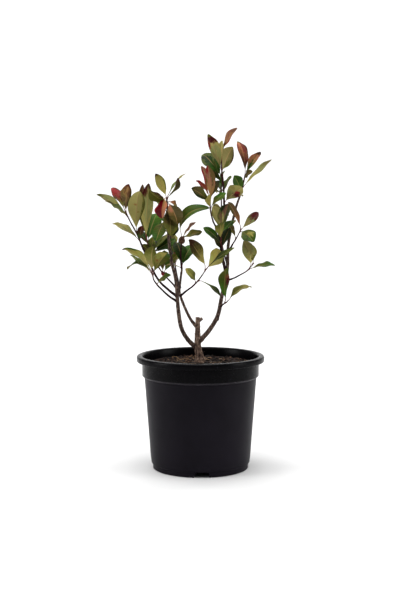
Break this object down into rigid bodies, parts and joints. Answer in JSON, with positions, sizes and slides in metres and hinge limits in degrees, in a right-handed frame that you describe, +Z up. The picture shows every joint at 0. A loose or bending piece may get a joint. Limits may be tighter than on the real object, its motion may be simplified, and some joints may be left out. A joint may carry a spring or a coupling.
{
  "type": "potted photinia red robin shrub",
  "caption": "Young pruned photinia shrub in a round black nursery pot; leaning boughs fork low from a short trunk and end in open shoots of broad leaves, green with red and bronze young ones.",
  "frame": {"origin": "centre of the pot's flat underside", "axes": "+Z up the plant from the pot's foot to the top shoot; -Y toward the viewer of its front; +X to that viewer's right"},
  "size_m": [0.3106, 0.2422, 0.598],
  "materials": {
    "pot": "near-black moulded plastic with a soft sheen",
    "soil": "rough brown peat and bark chips",
    "bark": "rough grey-brown bark",
    "twig": "smooth maroon young bark",
    "leaf": "leathery leaves, green with red and bronze"
  },
  "bodies": {
    "root": {"bough_left": "bark", "bough_middle": "bark", "bough_right": "bark", "branch_near": "bark", "branch_side": "bark", "branch_top": "bark", "pot": "pot", "shoot_back_left": "leaf", "shoot_back_low": "leaf", "shoot_back_right": "leaf", "shoot_back_top": "leaf", "shoot_behind_left": "leaf", "shoot_bud": "leaf", "shoot_centre": "leaf", "shoot_centre_left": "leaf", "shoot_lower_left": "leaf", "shoot_lower_right": "leaf", "shoot_middle_right": "leaf", "shoot_near": "leaf", "shoot_outer_left": "leaf", "shoot_outer_right": "leaf", "shoot_right_top": "leaf", "shoot_side": "leaf", "shoot_top": "leaf", "soil": "soil", "trunk": "bark", "twig_back_left": "twig", "twig_back_low": "twig", "twig_back_right": "twig", "twig_back_top": "twig", "twig_behind_left": "twig", "twig_centre": "twig", "twig_lower_left": "twig", "twig_lower_right": "twig", "twig_middle_right": "twig", "twig_outer_left": "twig", "twig_outer_right": "twig"}
  },
  "joints": []
}
